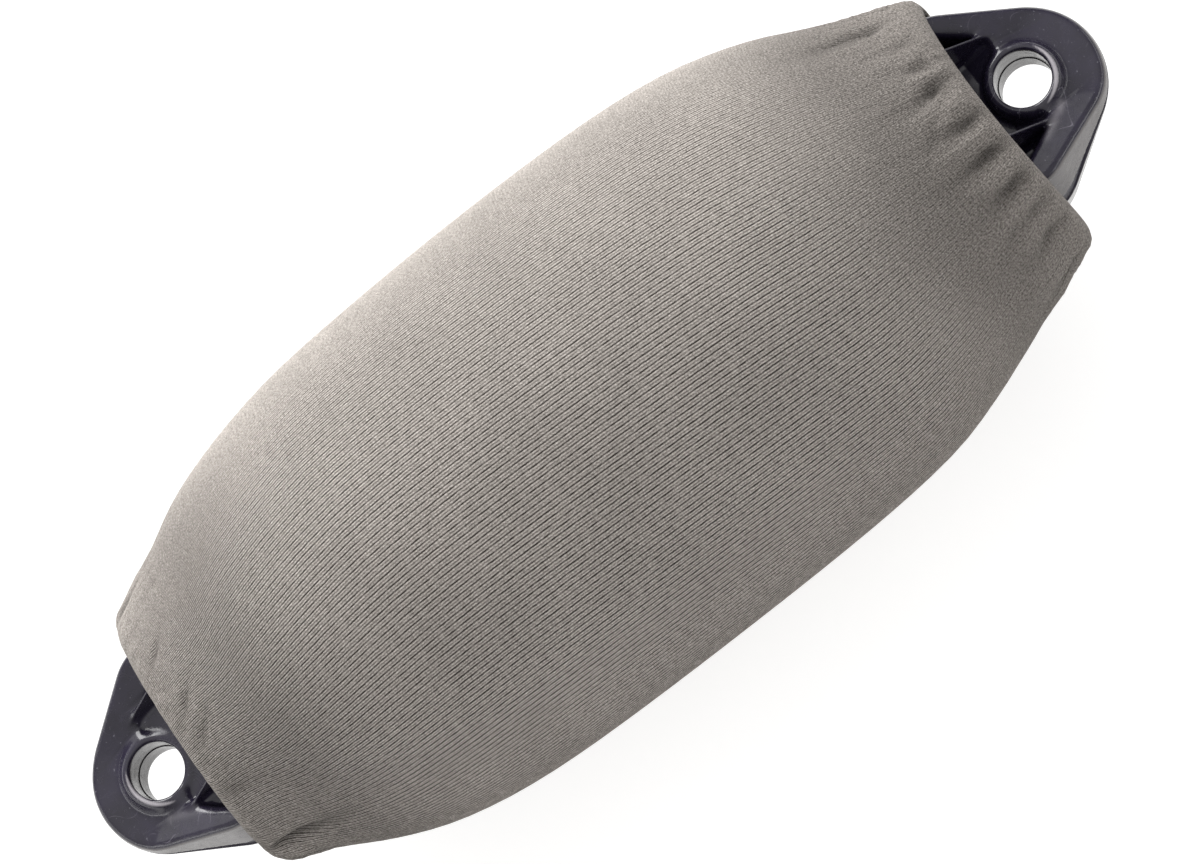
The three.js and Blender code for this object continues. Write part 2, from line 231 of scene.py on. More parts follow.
# Points of the sleeve's middle surface: rows from the left hem's edge to the right one's
def sleeveMiddle():
    half = sleeve["thickness"] / 2
    columns = sleeve["pairsAround"] * sleeve["columnsAPair"]
    base = 2 * np.pi * np.arange(columns) / columns
    bend = sleeve["hemRadius"] - half
    slope, tuck = math.radians(sleeve["hemStart"]), math.radians(sleeve["hemTuck"])
    rows = []

    def angleAt(x):
        return base + np.radians(sectionValue(x, "turn"))

    def addRow(x, radius, angle, gatherShare, place):
        lift = gatherShare * gatherHeight(place, angle, radius)
        rows.append((x, radius + lift + rimWave(angle, place), angle, lift))

    def addHem(hem, side, parts):
        angle = angleAt(side * sleeve["sections"][-1][0])
        start = side * turnInAt(hem, angle)
        for part in parts:
            turn = slope + (tuck - slope) * part
            x = start + side * bend * (math.sin(turn) - math.sin(slope))
            radius = (sectionValue(start, "radius") - half
                      - bend * (math.cos(slope) - math.cos(turn)))
            gathered = sleeve["hemGathers"] + (1 - sleeve["hemGathers"]) * (1 - part) ** 2
            addRow(x, radius, angle, gathered, start)

    parts = np.linspace(0, 1, sleeve["hemRows"] + 1)[1:]
    addHem("hemLeft", -1, parts[::-1])
    for i in range(sleeve["rows"] + 1):
        even = i / sleeve["rows"]
        share = even - sleeve["crowdEnds"] * math.sin(2 * math.pi * even) / (2 * math.pi)
        angle = base
        for _ in range(2):  # the wales' turn depends on the place, which depends on the angle
            left, right = -turnInAt("hemLeft", angle), turnInAt("hemRight", angle)
            x = left + (right - left) * share
            angle = angleAt(x)
        addRow(x, sectionValue(x, "radius") - half, angle, 1, x)
    addHem("hemRight", 1, parts)
    x, radius, angle, lift = (np.array(column) for column in zip(*rows))
    y = sectionValue(x, "shift") + radius * np.sin(angle)
    z = sleeve["axisHeight"] + radius * np.cos(angle)
    return np.stack([x, y, np.maximum(z, half)], axis=-1), lift


def makeSleeve():
    middle, lift = sleeveMiddle()
    rowCount, columns = middle.shape[:2]
    along = np.gradient(middle, axis=0)
    across = np.roll(middle, -1, axis=1) - np.roll(middle, 1, axis=1)
    normal = np.cross(along, across)
    normal /= np.linalg.norm(normal, axis=-1, keepdims=True)
    half = sleeve["thickness"] / 2
    outer = middle + normal * half
    outer[..., 2] = np.maximum(outer[..., 2], 0)
    inner = middle - normal * half
    inner[..., 2] = np.maximum(inner[..., 2], sleeve["thickness"])
    # The inside hardly shows, so it keeps few of the rows
    fromEdge = np.minimum(np.arange(rowCount), rowCount - 1 - np.arange(rowCount))
    hem, close = sleeve["hemRows"], sleeve["hemRows"] + sleeve["insideClose"]
    kept = [i for i, rows in enumerate(fromEdge) if i % sleeve["insideStep"] == 0
            or hem <= rows < close or (rows < hem and i % 2 == 0)][::-1]
    shell = np.concatenate([outer, inner[kept]])
    steps = np.linalg.norm(np.diff(middle, axis=0), axis=-1).mean(axis=1)
    length = np.concatenate([[0], np.cumsum(steps)])
    place = np.concatenate([length, length[kept]])
    rows = len(shell)
    r, c = np.meshgrid(np.arange(rows), np.arange(columns), indexing="ij")
    nextR, nextC = (r + 1) % rows, (c + 1) % columns
    corners = np.stack([r * columns + c, nextR * columns + c, nextR * columns + nextC,
                        r * columns + nextC], axis=-1).reshape(-1, 4)
    made = newObject("sleeveBase", (shell.reshape(-1, 3) * mm).tolist(), corners.tolist())
    made.data.polygons.foreach_set("use_smooth", [True] * len(corners))
    # The knit map: across the wales and along them, in metres of the flat cloth
    u = np.stack([c, c, c + 1, c + 1], axis=-1) / columns * sleeve["flatWidth"] * mm
    v = np.stack([place[r], place[nextR], place[nextR], place[r]], axis=-1) * mm
    knitMap = made.data.uv_layers.new(name="knitMap")
    knitMap.data.foreach_set("uv", np.stack([u, v], axis=-1).reshape(-1).astype(np.float32))
    outside = np.concatenate([np.clip(fromEdge / sleeve["ribsFrom"], 0, 1), np.zeros(len(kept))])
    fromHem = np.minimum(place, length[-1] - place)
    crumpled = (outside * np.where(place > length[-1] / 2, 1, sleeve["crumpleLeft"])
                * np.clip((sleeve["crumpleFrom"] - fromHem) / sleeve["crumpleFade"], 0, 1))
    storeValues(made, "waleShare", np.tile(np.arange(columns) / columns, rows))
    # How deep each point lies in a gather, for the painted shade in the hollows
    storeValues(made, "hollow", np.clip(
        -np.concatenate([lift, lift[kept]]) / sleeve["shadeFullDepth"], 0, 1))
    for name, values in (("outside", outside), ("crumpled", crumpled), ("fromHem", fromHem)):
        storeValues(made, name, np.repeat(values, columns))
    return made, length[-1]


# Brushed rib knit of textured acrylic yarn: a soft warm grey, each wale a rounded row of loops
# with a dark furrow beside it, every second furrow deeper, the furrows' darkness painted shade.
# Over the full middle the cloth is stretched, so the furrows open; towards the hems the nap
# closes over them and the cloth is darker, the right end most
knit = {
    # the furrow colour is painted shade in the furrows
    "base": "#ddd4cd", "shade": "#9b958e", "fibre": "#faf6f0", "furrow": "#2a2622",
    # Of the flat cloth, 1.85 mm when it is stretched round the middle
    "walePitch": sleeve["flatWidth"] / (2 * sleeve["pairsAround"]),
    "loopPitch": 1.9,        # twice the real one, which is too fine to show
    "waleWander": 0.35, "loopLean": 0.35,        # shares of a pitch
    "single": 0.62, "double": 0.38,              # painted shade of each furrow and of every second
    "doubleAtHem": 0.5, "darkest": 0.97,
    "hem": (50, 160),                            # from the hem, where the furrows open
    "ends": (0.15, 0.5),     # metres of cloth, up to which it is the left end, then the right
    "endFurrows": (1.3, 0.4),                    # the nap is closed at the right hem
    "endTones": (0.66, 0.5), "rim": (30, 75), "rimTone": 1.26,  # a little paler at the hem
    "paintedHollowShade": 0.5,                           # painted shade in the gathers' hollows
    "noises": {              # waves a metre, detail, roughness, stretch along the wales
        "wander": (110, 3, 0.6, 1),              # wales wander by a part of a loop
        "fibre": (1250, 4, 0.8, 0.55),           # tufts of fibre, 0.8 mm
        "dashes": (520, 2, 0.5, 0.35),           # a furrow opens and closes every few loops
        "patches": (130, 3, 0.6, 1),             # nap laid one way or the other, 5 to 10 mm
        "flecks": (640, 2, 0.7, 1),              # gaps left in the closed nap, 1.5 mm, painted as shade
        "broad": (14, 2, 0.6, 1),                # wear and stretch over 50 mm and more
    },
    # What a noise turns into: from, to, value there and there
    "dashes": (0.35, 0.62, 0.78, 1.1), "patches": (0.3, 0.7, 0.92, 1.05),
    "broad": (0.3, 0.7, 0.94, 1.06), "lit": (0.4, 0.58, 0, 1), "tips": (0.57, 0.7, 0, 0.95),
    "flecks": (0.46, 0.62, 0), "fleckShare": 0.7,
    "furrowHeight": -0.5, "loopHeight": 0.08, "fibreHeight": 0.5,
    "relief": 0.85, "reliefHeight": 1, "nap": 0.03, "napHeight": 2,
    "roughness": 0.92, "specular": 0.12,
    "sheen": 0.05, "sheenRoughness": 0.4, "sheenTint": "#e9e5df",
}


def makeKnitMaterial():
    material, tree, shader = newMaterial("brushedRibKnit")
    add = partial(addNode, tree)
    cloth = add("ShaderNodeUVMap", uv_map="knitMap")
    across, along, _ = add("ShaderNodeSeparateXYZ", (cloth,)).outputs
    hollow = add("ShaderNodeAttribute", attribute_name="hollow").outputs["Fac"]
    fromHem = add("ShaderNodeAttribute", attribute_name="fromHem").outputs["Fac"]
    noise = {}
    for name, (scale, detail, roughness, stretch) in knit["noises"].items():
        spread = add("ShaderNodeMapping", {"Vector": cloth, "Scale": (1, stretch, 1)})
        noise[name] = add("ShaderNodeTexNoise", {
            "Vector": spread, "Scale": scale, "Detail": detail, "Roughness": roughness})

    # How open the furrows are, and what they and the tone come to at the two ends
    opened = add("ShaderNodeMapRange", (fromHem, *knit["hem"]), interpolation_type="SMOOTHSTEP")
    closed = add("ShaderNodeMapRange", (along, *knit["ends"], *knit["endFurrows"]))
    # Darker towards the ends where the furrows are not open, the right end most
    endTone = add("ShaderNodeMapRange", (along, *knit["ends"], *knit["endTones"]))

    # Furrows, for their painted shade and their relief: a wave for each wale, and one half as
    # fast for every second
    wale = add("ShaderNodeMath", (across, knit["walePitch"] * mm), operation="DIVIDE")
    wale = add("ShaderNodeMath", (noise["wander"], knit["waleWander"], wale),
               operation="MULTIPLY_ADD")
    waves = []
    for turns in (2, 1):
        wave = add("ShaderNodeMath", (wale, turns * math.pi), operation="MULTIPLY")
        wave = add("ShaderNodeMath", (wave,), operation="COSINE")
        waves.append(add("ShaderNodeMapRange", (wave, -1, 1, 0, 1)))
    single, double = waves
    double = add("ShaderNodeMath", (double, 3), operation="POWER")  # narrower
    deeper = add("ShaderNodeMapRange", (opened, 0, 1, knit["doubleAtHem"], 1))
    double = add("ShaderNodeMath", (double, deeper), operation="MULTIPLY")
    furrow = 0
    for wave, dark in ((single, knit["single"]), (double, knit["double"])):
        furrow = add("ShaderNodeMath", (wave, dark, furrow), operation="MULTIPLY_ADD")
    for share in ((noise["dashes"], *knit["dashes"]), (noise["patches"], *knit["patches"]),
                  (opened, 0, 1, closed, 1)):
        share = add("ShaderNodeMapRange", share)
        furrow = add("ShaderNodeMath", (furrow, share), operation="MULTIPLY")
    fleckShare = add("ShaderNodeMath", (closed, -knit["fleckShare"], knit["fleckShare"]),
                     operation="MULTIPLY_ADD")
    fleckShare = add("ShaderNodeMapRange", (opened, 0, 1, fleckShare, 0))
    flecks = add("ShaderNodeMapRange", (noise["flecks"], *knit["flecks"], fleckShare))
    furrow = add("ShaderNodeMath", (furrow, flecks), operation="ADD")
    furrow = add("ShaderNodeMath", (furrow, knit["darkest"]), operation="MINIMUM")

    # The last layer paints shade into the furrows
    ground = linear(knit["shade"])
    for share, layer in ((add("ShaderNodeMapRange", (noise["fibre"], *knit["lit"])), "base"),
                         (add("ShaderNodeMapRange", (noise["fibre"], *knit["tips"])), "fibre"),
                         (furrow, "furrow")):
        ground = add("ShaderNodeMix", {0: share, 6: ground, 7: linear(knit[layer])},
                     data_type="RGBA").outputs[2]
    # Tone: broad changes, darker ends, painted shade in the gathers' hollows, paler rims
    tone = 1
    for share in ((noise["broad"], *knit["broad"]), (opened, 0, 1, endTone, 1),
                  (hollow, 0, 1, 1, knit["paintedHollowShade"]),
                  (fromHem, *knit["rim"], knit["rimTone"], 1)):
        share = add("ShaderNodeMapRange", share)
        tone = add("ShaderNodeMath", (tone, share), operation="MULTIPLY")
    colour = add("ShaderNodeHueSaturation", {"Color": ground, "Value": tone})

    # Relief: furrows, loops along the wales, tufts, and the lie of the nap
    loop = add("ShaderNodeMath", (along, knit["loopPitch"] * mm), operation="DIVIDE")
    loop = add("ShaderNodeMath", (single, knit["loopLean"], loop), operation="MULTIPLY_ADD")
    loop = add("ShaderNodeMath", (loop, 2 * math.pi), operation="MULTIPLY")
    loop = add("ShaderNodeMath", (loop,), operation="SINE")
    height = 0
    for part, tall in ((furrow, knit["furrowHeight"]), (loop, knit["loopHeight"]),
                       (noise["fibre"], knit["fibreHeight"])):
        height = add("ShaderNodeMath", (part, tall, height), operation="MULTIPLY_ADD")
    relief = add("ShaderNodeBump", {
        "Strength": knit["relief"], "Distance": knit["reliefHeight"] * mm, "Height": height})
    nap = add("ShaderNodeBump", {
        "Strength": knit["nap"], "Distance": knit["napHeight"] * mm, "Height": noise["patches"],
        "Normal": relief})
    setInputs(tree, shader, {
        "Base Color": colour, "Normal": nap, "Roughness": knit["roughness"],
        "Specular IOR Level": knit["specular"], "Sheen Weight": knit["sheen"],
        "Sheen Roughness": knit["sheenRoughness"], "Sheen Tint": linear(knit["sheenTint"])})
    return material


# Ribs of the knit, pressed into the sleeve by Geometry Nodes. Depths and sizes in millimetres
ribs = {"Pairs Around": sleeve["pairsAround"], "Deep Furrow": 0.36, "Shallow Furrow": 0.18,
        "Unevenness": 0.2, "Crumpling": 6, "Crumple Size": 7, "Seed": 7}


def ribTree(material):
    tree = bpy.data.node_groups.new("ribKnit", "GeometryNodeTree")
    add = partial(addNode, tree)
    for direction in ("INPUT", "OUTPUT"):
        tree.interface.new_socket("Geometry", in_out=direction,
                                  socket_type="NodeSocketGeometry")
    for name, value in ribs.items():
        socket = tree.interface.new_socket(name, in_out="INPUT", socket_type="NodeSocketFloat")
        socket.default_value = value
    given = add("NodeGroupInput").outputs
    waleShare, outside, crumpled = (
        add("GeometryNodeInputNamedAttribute", (name,), data_type="FLOAT")
        for name in ("waleShare", "outside", "crumpled"))

    turn = add("ShaderNodeMath", (waleShare, given["Pairs Around"]), operation="MULTIPLY")
    turn = add("ShaderNodeMath", (turn, math.pi), operation="MULTIPLY")
    depth = 0
    for wave, deep in (("COSINE", "Deep Furrow"), ("SINE", "Shallow Furrow")):
        furrow = add("ShaderNodeMath", (turn,), operation=wave)
        furrow = add("ShaderNodeMath", (furrow,), operation="ABSOLUTE")
        furrow = add("ShaderNodeMath", (furrow, 6), operation="POWER")  # narrow, wales rounded
        depth = add("ShaderNodeMath", (furrow, given[deep], depth), operation="MULTIPLY_ADD")
    blotch = add("ShaderNodeTexNoise", {"Scale": 60, "Detail": 2, "W": given["Seed"]},
                 noise_dimensions="4D")  # the furrows' depth changes over 17 mm
    uneven = add("ShaderNodeMath", (blotch, 0.5), operation="SUBTRACT")
    uneven = add("ShaderNodeMath", (uneven, given["Unevenness"], 1), operation="MULTIPLY_ADD")
    for share in (uneven, outside):
        depth = add("ShaderNodeMath", (depth, share), operation="MULTIPLY")

    scale = add("ShaderNodeMath", (1 / mm, given["Crumple Size"]), operation="DIVIDE")
    crumples = add("ShaderNodeTexNoise", {"Scale": scale, "Detail": 2, "W": given["Seed"]},
                   noise_dimensions="4D")
    crumple = add("ShaderNodeMath", (crumples, 0.5), operation="SUBTRACT")
    strength = add("ShaderNodeMath", (given["Crumpling"], crumpled), operation="MULTIPLY")
    depth = add("ShaderNodeMath", (crumple, strength, depth), operation="MULTIPLY_ADD")
    inwards = add("ShaderNodeMath", (depth, -mm), operation="MULTIPLY")
    shift = add("ShaderNodeVectorMath", {
        0: add("GeometryNodeInputNormal"), "Scale": inwards}, operation="SCALE")
    moved = add("GeometryNodeSetPosition", {"Geometry": given["Geometry"], "Offset": shift})
    single = add("GeometryNodeRealizeInstances", (moved,))
    painted = add("GeometryNodeSetMaterial", {"Geometry": single, "Material": material})
    add("NodeGroupOutput", (painted,))
    return tree


# Runs a tree on an object and returns the result as a plain mesh object of that name
def runTree(base, tree, values, name):
    modifier = base.modifiers.new("nodes", "NODES")
    modifier.node_group = tree
    for item in tree.interface.items_tree:
        if item.in_out == "INPUT" and item.name in values:
            modifier[item.identifier] = float(values[item.name])
    evaluated = base.evaluated_get(bpy.context.evaluated_depsgraph_get())
    mesh = bpy.data.meshes.new_from_object(evaluated)
    made = bpy.data.objects.new(name, mesh)
    bpy.context.scene.collection.objects.link(made)
    base.modifiers.remove(modifier)
    return made


sleeveBase, clothLength = makeSleeve()
cover = runTree(sleeveBase, ribTree(makeKnitMaterial()), ribs, "ribKnitSleeve")
bpy.data.objects.remove(sleeveBase)
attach(cover, "root")
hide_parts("cover")
print("sleeve knitted:", len(cover.data.polygons), "faces,", round(clothLength), "mm hem to hem")


# Moulded PVC, plasticised and glossy: dark navy to purple, softly mirrored, with handling scuffs
# and dust, a painted highlight on each collar and a painted warm reflection on the walls
vinyl = {
    "base": "#1f1b29", "worn": "#322d41", "dust": "#9a98a3", "scratch": "#8f8a97",
    # the next two colours are a painted highlight with the scuff, and a painted warm reflection
    "paintedHighlightAndScuff": "#bdb8bd", "paintedReflection": "#716960",
    "noises": {              # pitch, detail, roughness, distortion
        "clouds": (28, 3, 0.6, 0), "scuffs": (9, 8, 0.72, 1.6), "specks": (2.2, 2, 0.6, 0),
        "scratches": (30, 1, 0.6, 0), "handled": (19, 2, 0.6, 0), "ripple": (16, 2, 0.6, 0),
    },
    # What a noise turns into: from, to, value there and there
    "clouded": (0.35, 0.7, 0, 0.6), "scuffed": (0.56, 0.78, 0, 0.6),
    "specked": (0.68, 0.76, 0, 0.5), "scratched": (0.5, 0.62, 0, 0.4),
    "rubbedUneven": (0.2, 0.8, 1, 0.8), "filmUneven": (0.2, 0.8, 0.5, 0.3),
    "gloss": (0.45, 0.75, 0.2, 0.4),
    "scratchEdge": (0.001, 0.0045),              # half of a scratch 0.4 mm wide, on its noise
    "scuffHeight": 0.06, "relief": 0.35, "reliefHeight": 1.2,
    "ior": 1.54, "coat": 0.12, "coatRoughness": 0.08,
}


def makeVinylMaterial():
    material, tree, shader = newMaterial("mouldedNavyVinyl")
    add = partial(addNode, tree)
    place = add("ShaderNodeTexCoord").outputs["Object"]
    noise = {}
    for name, (pitch, detail, roughness, distortion) in vinyl["noises"].items():
        noise[name] = add("ShaderNodeTexNoise", {
            "Vector": place, "Scale": 1 / (pitch * mm), "Detail": detail,
            "Roughness": roughness, "Distortion": distortion})
    # Long curved scratches: the level lines of a broad noise, in a few places
    level = add("ShaderNodeMath", (noise["scratches"], 0.5), operation="SUBTRACT")
    level = add("ShaderNodeMath", (level,), operation="ABSOLUTE")
    handled = add("ShaderNodeMapRange", (noise["handled"], *vinyl["scratched"]))
    layers = [
        (add("ShaderNodeMapRange", (noise["clouds"], *vinyl["clouded"])), "worn"),
        (add("ShaderNodeMapRange", (noise["scuffs"], *vinyl["scuffed"])), "worn"),
        (add("ShaderNodeMapRange", (noise["specks"], *vinyl["specked"])), "dust"),
        (add("ShaderNodeMapRange", (level, *vinyl["scratchEdge"], handled, 0)), "scratch"),
    ]
    # Painted highlight and scuff on the collars, and painted warm reflection on the side walls
    # and eye walls
    for name, uneven, layer in (("paintedHighlightAndScuff", "rubbedUneven", "paintedHighlightAndScuff"),
                                ("paintedReflectionMask", "filmUneven", "paintedReflection")):
        stored = add("ShaderNodeAttribute", attribute_name=name).outputs["Fac"]
        uneven = add("ShaderNodeMapRange", (noise["scuffs"], *vinyl[uneven]))
        layers.append((add("ShaderNodeMath", (stored, uneven), operation="MULTIPLY"), layer))
    colour = linear(vinyl["base"])
    for share, layer in layers:
        colour = add("ShaderNodeMix", {0: share, 6: colour, 7: linear(vinyl[layer])},
                     data_type="RGBA").outputs[2]
    height = add("ShaderNodeMath", (noise["scuffs"], vinyl["scuffHeight"], noise["ripple"]),
                 operation="MULTIPLY_ADD")
    setInputs(tree, shader, {
        "Base Color": colour,
        "Roughness": add("ShaderNodeMapRange", (noise["scuffs"], *vinyl["gloss"])),
        "Normal": add("ShaderNodeBump", {
            "Strength": vinyl["relief"], "Distance": vinyl["reliefHeight"] * mm,
            "Height": height}),
        "IOR": vinyl["ior"], "Coat Weight": vinyl["coat"],
        "Coat Roughness": vinyl["coatRoughness"]})
    return material


vinylMaterial = makeVinylMaterial()

# The fender under the sleeve: one profile turned round its axis, pressed flat underneath
skin = {
    "inset": 3.8, "endAt": 296, "endRadius": 81.5, "corner": 8, "cornerRings": 9, "around": 192,
    "rings": (276, 262, 250, 241, 232, 223, 215, 207, 200, 192, 184, 175, 165, 154, 142, 126,
              110, 90, 70, 47, 23, 0),
}


def makeFenderSkin():
    rings = []
    for turn in np.radians(np.linspace(90, 0, skin["cornerRings"])):
        rings.append((skin["endAt"] - skin["corner"] * (1 - math.sin(turn)),
                      skin["endRadius"] + skin["corner"] * math.cos(turn)))
    rings += [(x, None) for x in skin["rings"]]  # these fit under the sleeve's deepest gather
    rings = [(-x, radius) for x, radius in rings] + rings[-2::-1]
    count = skin["around"]
    angle = 2 * np.pi * np.arange(count) / count
    probe = np.radians(np.arange(0, 360, 2))
    points, faces = [], []
    for x, radius in rings:
        if radius is None:
            mean = float(sectionValue(x, "radius"))
            radius = mean - skin["inset"] + min(0, float(gatherHeight(x, probe, mean).min()))
        y = float(sectionValue(x, "shift")) + radius * np.sin(angle)
        z = np.maximum(sleeve["axisHeight"] + radius * np.cos(angle), skin["inset"])
        points += [(x * mm, a * mm, b * mm) for a, b in zip(y, z)]
    for r in range(len(rings) - 1):
        for c in range(count):
            a, b = r * count + c, r * count + (c + 1) % count
            faces.append((a, a + count, b + count, b))
    faces.append(tuple(range(count)))
    last = (len(rings) - 1) * count
    faces.append(tuple(range(last + count - 1, last - 1, -1)))
    made = newObject("fenderSkin", points, faces)
    for polygon in made.data.polygons:
        polygon.use_smooth = len(polygon.vertices) == 4
    made.data.materials.append(vinylMaterial)
    return made


fenderSkin = makeFenderSkin()
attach(fenderSkin, "root")
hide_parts("fender_body")
print("fender skin turned")

# An eye end, the moulded lug for the rope. x from the fender's middle, z from the lug's middle
eyeEnd = {
    "base": 296.3, "eyeAt": 332, "eyeSide": -2.4, "eyeHeight": 147.5,
    "eyeRadius": 17.5, "lipRound": 2,
    # outline from above, and the side walls with their groove
    "tipRadius": 48.5, "flankAngle": 32, "halfWidth": 71, "cornerRound": 3, "draft": 0.17,
    "wallScale": 0.976,      # brings the walls near a true distance
    "grooveDepth": 3.4, "grooveTip": 1.2, "grooveFrom": 34, "grooveSpread": 0.1,
    "grooveShape": 0.8,
    # top: a face that falls to the tip, a facet along each flank and a valley where they meet
    "faceHeight": 17.5, "faceSlope": 0.36, "tipHalf": 8.5, "tipRound": 2,
    "facetHeight": 6.9, "facetFall": 0.307, "facetRise": 0.386, "facetTop": 40,
    "edgeRound": 2.4, "valleyRound": 0.9, "valleyDepth": 0.5, "valleyHalf": 0.55,
    "collarRadius": 23.4, "collarTop": 20.4, "collarFlat": 19.8, "collarSlope": 38,
    "collarDraft": 0.12, "collarRound": 1.6, "collarFillet": 1.6,
    "pocketHalf": 31.5, "floorScale": 0.88, "floorRound": 1.5,
    "gussetAt": 33.2, "gussetHalf": 0.9, "gussetFoot": 331, "gussetSlope": 1.03,
    "gussetRound": 0.9, "gussetFillet": 2.2, "gussetPast": 3, "gussetEndRound": 1,
    "boxLow": (294.4, -73.2, -71), "boxHigh": (383.2, 73.2, 71), "cell": 0.8,
}
# Where the two differ. Pockets, gussets and facets lie to one side of the rope eye's line
eyeEndSides = {
    1: {"name": "ropeEyeRight", "node": "eye_end_right", "eyeShift": (0, 0.7),
        "ribShift": 3.4, "facetShift": 2, "gussetHeight": 18.9,
        "pocketFrom": 329, "pocketSpread": (0.62, 0.6), "pocketSlope": 0.55,
        "pocketFloor": 14, "pocketLow": 4, "pocketRound": 3.2, "pocketCorner": 3,
        "scuffLine": (9, -25.5, -11, -40), "scuffShare": 0.3},
    -1: {"name": "ropeEyeLeft", "node": "eye_end_left", "eyeShift": (1.2, -1.4),
         "ribShift": -3.4, "facetShift": -2, "gussetHeight": 17, "collarFillet": 2.8,
         "pocketFrom": 325.5, "pocketSpread": (0.8, 0.05), "pocketSlope": -0.2,
         "pocketFloor": 16.8, "pocketLow": 13, "pocketRound": 4.4, "pocketCorner": 14,
         "scuffLine": (12, 26, -6, 36), "scuffShare": 0.12},
}


def softMax(a, b, size):
    share = np.maximum(size - np.abs(a - b), 0) / size
    return np.maximum(a, b) + share * share * size / 4


def softMin(a, b, size):
    return -softMax(-a, -b, size)


# Outline of the lug from above: straight flanks and a round tip
def outlineDistance(ahead, side):
    flank = math.radians(eyeEnd["flankAngle"])
    straight = ahead * math.sin(flank) + side * math.cos(flank)
    onTip = np.arctan2(side, ahead) < math.pi / 2 - flank
    return np.where(onTip, np.hypot(ahead, side), straight) - eyeEnd["tipRadius"]


# Half height of the groove in the side walls, which is thin round the tip
def grooveHalf(ahead):
    return (eyeEnd["grooveTip"]
            + np.maximum(eyeEnd["grooveFrom"] - ahead, 0) * eyeEnd["grooveSpread"])


def lugDistance(ahead, y, height, e):
    side, facetSide = np.abs(y), np.abs(y - e["facetShift"])
    plan = softMax(outlineDistance(ahead, side), side - e["halfWidth"], e["cornerRound"] * 2)
    dent = np.clip(1 - (height / grooveHalf(ahead)) ** 2, 0, 1) ** e["grooveShape"]
    wall = (plan + e["draft"] * height + e["grooveDepth"] * dent) * e["wallScale"]
    face = (height - e["faceHeight"] + e["faceSlope"] * ahead) / math.hypot(1, e["faceSlope"])
    facet = ((height - e["facetHeight"] + e["facetFall"] * ahead - e["facetRise"] * facetSide)
             / math.hypot(1, e["facetFall"], e["facetRise"]))
    valley = e["valleyDepth"] * np.exp(-((face - facet) / e["valleyHalf"]) ** 2)
    top = softMin(face, facet, e["valleyRound"] * 2) + valley
    top = softMin(top, height - e["tipHalf"], e["tipRound"] * 2)
    top = np.maximum(top, height - e["facetTop"])
    return softMax(wall, top, e["edgeRound"] * 2)


# Pockets towards the fender, beside and between the gussets, sloping down to it
def pocketDistance(x, y, height, e):
    spread = np.where(y > e["ribShift"], e["pocketSpread"][0], e["pocketSpread"][1])
    line = e["pocketHalf"] + spread * (e["gussetFoot"] - x)
    inPocket = softMax(x - e["pocketFrom"],
                       (np.abs(y - e["ribShift"]) - line) / np.hypot(1, spread),
                       e["pocketCorner"])
    floor = np.maximum(e["pocketFloor"] - e["pocketSlope"] * (e["pocketFrom"] - x),
                       e["pocketLow"])
    return softMax(inPocket, (floor - height) * e["floorScale"], e["floorRound"] * 2)


def gussetDistance(x, y, height, e):
    crown = e["gussetHeight"] + e["gussetSlope"] * (e["gussetFoot"] - x)
    plate = np.abs(np.abs(y - e["ribShift"]) - e["gussetAt"]) - e["gussetHalf"]
    gusset = softMax(plate, (height - crown) / math.hypot(1, e["gussetSlope"]),
                     e["gussetRound"] * 2)
    return softMax(gusset, x - e["gussetFoot"] - e["gussetPast"], e["gussetEndRound"] * 2)


# The collar's top is level, so it stands highest towards the tip
def collarDistance(fromEye, height, e):
    lean = math.radians(e["collarSlope"])
    bevel = ((height - e["collarTop"]) * math.cos(lean)
             + (fromEye - e["collarFlat"]) * math.sin(lean))
    outer = fromEye - e["collarRadius"] - e["collarDraft"] * (e["collarTop"] - height)
    return softMax(softMax(outer, bevel, e["collarRound"] * 2), height - e["collarTop"],
                   e["collarRound"] * 2)


# How far a point is outside an eye end, below zero inside it
def eyeEndDistance(x, y, z, e):
    height, ahead = np.abs(z), x - e["eyeAt"]
    fromEye = np.hypot(ahead - e["eyeShift"][0], y - e["eyeShift"][1])
    body = lugDistance(ahead, y, height, e)
    body = softMax(body, -pocketDistance(x, y, height, e), e["pocketRound"] * 2)
    body = softMin(body, gussetDistance(x, y, height, e), e["gussetFillet"] * 2)
    body = softMin(body, collarDistance(fromEye, height, e), e["collarFillet"] * 2)
    body = softMax(body, e["eyeRadius"] - fromEye, e["lipRound"] * 2)
    return np.maximum(body, e["base"] - x)


